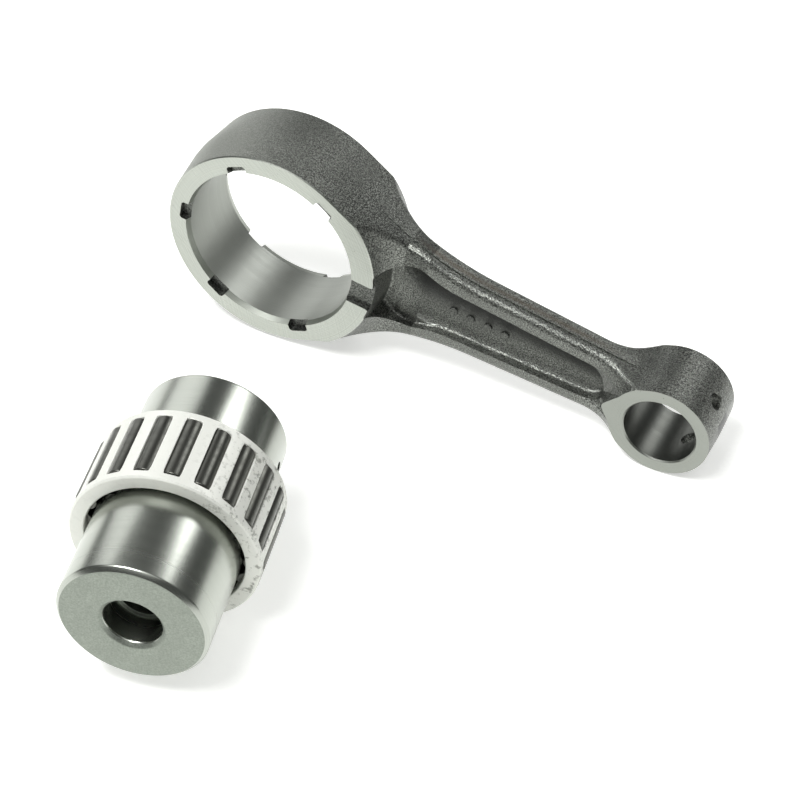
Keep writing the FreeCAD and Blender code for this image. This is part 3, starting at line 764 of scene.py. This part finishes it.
class BuildCage(bpy.types.Operator):
    """Builds the bearing cage: one windowed sector repeated round the pin's line, between two rims"""

    bl_idname = "rod_kit.build_cage"
    bl_label = "Bearing cage"

    def execute(self, context):
        settings = context.scene.rod_kit_cage
        inner, edge, lip = PIN_RADIUS + settings.pin_gap, settings.edge, settings.lip
        half = CAGE_WIDTH / 2
        window = ROLLER_LENGTH / 2 + settings.end_gap
        pocket = ROLLER_RADIUS + settings.side_gap
        opening, ledge = settings.window_width / 2, CAGE_RADIUS - settings.window_depth
        steps = settings.side_steps

        def level(radius, half_across, half_along, corner):
            """One loop of a sector: a point's angle is the arcsine of its width across over the radius."""
            loop = box_loop(half_across, half_along, corner, steps)
            return np.full(4 * steps, radius), np.arcsin(loop[:, 0] / radius), loop[:, 1]

        def border(radius, half_along):
            """The outline of a sector, from one bar's middle to the next."""
            loop = box_loop(ROLLER_PITCH / 2, half_along, 0.0, steps)
            return np.full(4 * steps, radius), loop[:, 0], loop[:, 1]

        def window_level(drop, grow):
            """The opening's loop, lower by drop and larger all round by grow."""
            return level(CAGE_RADIUS - drop, opening + grow, window + grow, settings.corner + grow)

        def pocket_level(radius):
            """The round pocket's loop, as wide as a circle is at that distance from its middle."""
            half_across = math.sqrt(pocket ** 2 - (radius - ROLLER_CIRCLE) ** 2)
            return level(radius, half_across, window, POCKET_CORNER)

        levels = [
            border(CAGE_RADIUS, half - edge),
            window_level(0.0, 3 * lip), window_level(0.0, lip), window_level(lip / 3, lip / 3),
            window_level(lip, 0.0), window_level(CAGE_RADIUS - ledge, 0.0),
            pocket_level(ledge), pocket_level(ROLLER_CIRCLE), pocket_level(inner + POCKET_MOUTH),
            pocket_level(inner),
            border(inner, half - edge / 2),
        ]
        radius, turn, along = (np.stack(parts) for parts in zip(*levels))
        first = pivot(ROLLERS[0]) - CAGE_CENTRE
        start = math.atan2(first.dot(PIN_SIDE), first.z)
        sector = np.arange(len(ROLLERS))[:, None, None]
        turns = start + sector * ROLLER_PITCH
        points = about_pin_line(*np.broadcast_arrays(radius, turn + turns, along), CAGE_CENTRE).reshape(-1, 3)
        sector_faces = grid_faces(len(levels), 4 * steps, close_columns=True)
        faces = (sector_faces[None] + sector * radius.size).reshape(-1, 4)

        rim_turn = start - ROLLER_PITCH / 2 + np.arange(len(ROLLERS) * steps) * ROLLER_PITCH / steps
        rim = rounded([(CAGE_RADIUS, half - edge), (CAGE_RADIUS - edge, half),
                       (inner + edge / 2, half), (inner, half - edge / 2)], edge / 4)
        strip = grid_faces(len(rim), len(rim_turn), close_columns=True)
        for sign in (1, -1):
            ring = np.broadcast_arrays(rim[:, :1], rim_turn, sign * rim[:, 1:])
            faces = np.vstack([faces, strip[:, ::sign] + len(points)])
            points = np.vstack([points, about_pin_line(*ring, CAGE_CENTRE).reshape(-1, 3)])
        points, faces = weld(points, faces, 2e-6)
        piece = new_piece("plated_cage", points, faces, [silver_plate(settings)])
        crease(piece, settings.crease)
        hand_over(piece, "bearing_cage")
        return {"FINISHED"}


# ---- the rollers
ROLLER_TIP = 0.1 * MM         # radius of the flat face that closes each end


class BuildRollers(bpy.types.Operator):
    """Builds each roller where its pocket is: a plain turned outline with round ends"""

    bl_idname = "rod_kit.build_rollers"
    bl_label = "Rollers"

    def execute(self, context):
        settings = context.scene.rod_kit_rollers
        half, steps = ROLLER_LENGTH / 2, settings.steps
        corners = [(ROLLER_TIP, -half), (ROLLER_RADIUS, -half), (ROLLER_RADIUS, half), (ROLLER_TIP, half)]
        profile = rounded(corners, settings.end_round, steps=7)
        faces = grid_faces(len(profile), steps, close_columns=True)
        ends = [np.arange(steps)[::-1], np.arange(steps) + (len(profile) - 1) * steps]
        finish = lapped_roller(settings)
        for node in ROLLERS:
            points = lathe(profile, steps, pivot(node))
            piece = new_piece("lapped_" + node, points, faces, [finish], ends)
            crease(piece, settings.crease)
            hand_over(piece, node)
        return {"FINISHED"}


# ---- the stage
FLOOR_REACH = 2.5
LIGHTS = {    # name: place, point it faces, width and depth, watts
    "overhead": ((-0.10, -0.35, 1.00), (-0.05, -0.15, 0.0), (1.50, 1.20), 3.0),
    "key": ((-0.22, -0.40, 0.95), (0.0, 0.0, 0.0), (0.60, 0.24), 11.0),
    "right_window": ((0.41, 1.01, 0.88), (0.03, -0.05, 0.0), (0.60, 0.46), 4.2),
    "left_window": ((-1.00, 0.75, 0.60), (0.0, -0.05, 0.0), (0.85, 0.85), 3.6),
}


def area_light(name, place, target, size, power):
    """A rectangular light at a place, facing a target."""
    light = bpy.data.lights.new(name, "AREA")
    light.shape = "RECTANGLE"
    light.size, light.size_y = size
    light.energy = power
    lamp = bpy.data.objects.new(name, light)
    turn = (Vector(target) - Vector(place)).to_track_quat("-Z", "Y")
    lamp.matrix_world = Matrix.Translation(place) @ turn.to_matrix().to_4x4()
    bpy.context.scene.collection.objects.link(lamp)


def look_along(place, aim, roll):
    """A camera's matrix: it looks along aim, turned about it by roll from upright."""
    aim = Vector(aim).normalized()
    right = Matrix.Rotation(-roll, 3, aim) @ aim.cross(UP).normalized()
    up = right.cross(aim)
    return Matrix.Translation(place) @ Matrix((right, up, -aim)).transposed().to_4x4()


class BuildStage(bpy.types.Operator):
    """Builds the plain floor, the soft light and the camera"""

    bl_idname = "rod_kit.build_stage"
    bl_label = "Stage"

    def execute(self, context):
        scene, settings = context.scene, context.scene.rod_kit_stage
        r, z = FLOOR_REACH, FLOOR_LEVEL
        mesh = bpy.data.meshes.new("floor")
        mesh.from_pydata([(-r, -r, z), (r, -r, z), (r, r, z), (-r, r, z)], [], [(0, 1, 2, 3)])
        mesh.materials.append(floor_paper(settings))
        floor = bpy.data.objects.new("floor", mesh)
        scene.collection.objects.link(floor)
        world = bpy.data.worlds.new("soft_room")
        world.use_nodes = True
        world.node_tree.nodes["Background"].inputs["Color"].default_value = (*settings.room, 1)
        scene.world = world
        for name, light in LIGHTS.items():
            area_light(name, *light)
        camera = bpy.data.objects.new("camera", bpy.data.cameras.new("camera"))
        camera.matrix_world = look_along(settings.camera_place, settings.camera_aim, settings.camera_roll)
        camera.data.lens = settings.lens
        camera.data.clip_start = 10 * MM
        scene.collection.objects.link(camera)
        scene.camera = camera
        scene.view_settings.view_transform = "Standard"
        return {"FINISHED"}


OPERATORS = (BuildRod, BuildPin, BuildCage, BuildRollers, BuildStage)
SETTINGS = {
    "rod_kit_rod": RodSettings,
    "rod_kit_pin": PinSettings,
    "rod_kit_cage": CageSettings,
    "rod_kit_rollers": RollerSettings,
    "rod_kit_stage": StageSettings,
}


class RodKitPanel(bpy.types.Panel):
    """Lists the pieces to build"""

    bl_idname = "VIEW3D_PT_rod_kit"
    bl_label = "Rod Kit"
    bl_space_type = "VIEW_3D"
    bl_region_type = "UI"
    bl_category = "Rod Kit"

    def draw(self, context):
        """One button for each operator, in the order they run"""
        for operator in OPERATORS:
            self.layout.operator(operator.bl_idname)


def register():
    for group in SETTINGS.values():
        bpy.utils.register_class(group)
    for cls in (*OPERATORS, RodKitPanel):
        bpy.utils.register_class(cls)
    for name, group in SETTINGS.items():
        setattr(bpy.types.Scene, name, PointerProperty(type=group))


def unregister():
    for name in SETTINGS:
        delattr(bpy.types.Scene, name)
    for cls in (RodKitPanel, *OPERATORS[::-1], *SETTINGS.values()):
        bpy.utils.unregister_class(cls)


def main():
    """Builds every piece and the stage."""
    register()
    bpy.ops.rod_kit.build_rod()
    bpy.ops.rod_kit.build_pin()
    bpy.ops.rod_kit.build_cage()
    bpy.ops.rod_kit.build_rollers()
    bpy.ops.rod_kit.build_stage()


if __name__ == "__main__":
    main()
